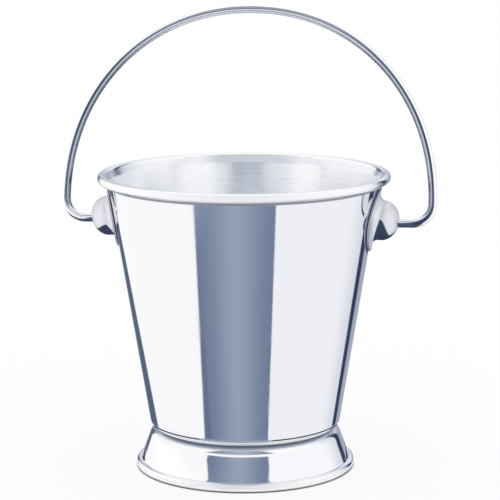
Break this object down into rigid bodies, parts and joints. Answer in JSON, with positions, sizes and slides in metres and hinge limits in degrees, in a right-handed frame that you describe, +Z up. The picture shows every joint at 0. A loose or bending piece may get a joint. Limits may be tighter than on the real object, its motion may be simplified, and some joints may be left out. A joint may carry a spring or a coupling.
{
  "type": "steel bucket",
  "caption": "Small tapered serving bucket of polished steel, with a rolled rim, a flared foot ring and a wire bail that swings in two domed ears.",
  "frame": {"origin": "on the ground at the middle of the foot ring", "axes": "+Z up along the bucket's axis, X along the bail's axis through both ears, -Y the front"},
  "size_m": [0.1554, 0.12, 0.1901],
  "materials": {
    "polished_body_steel": "mirror-polished stainless sheet outside, satin spun finish inside",
    "polished_foot_steel": "mirror-polished stainless sheet with fine turning lines",
    "polished_ear_steel": "polished stainless pressing",
    "polished_wire_steel": "polished drawn stainless wire"
  },
  "bodies": {
    "bucket": {"bucket_body": "polished_body_steel", "foot_ring": "polished_foot_steel", "ear_left": "polished_ear_steel", "ear_right": "polished_ear_steel"},
    "bail": {"bail_handle": "polished_wire_steel"}
  },
  "joints": [
    {"name": "bail_swing", "type": "hinge", "parent": "bucket", "child": "bail", "pos_m": [0, 0, 0.1029], "axis": [1, 0, 0], "range_deg": [-139, 161]}
  ]
}
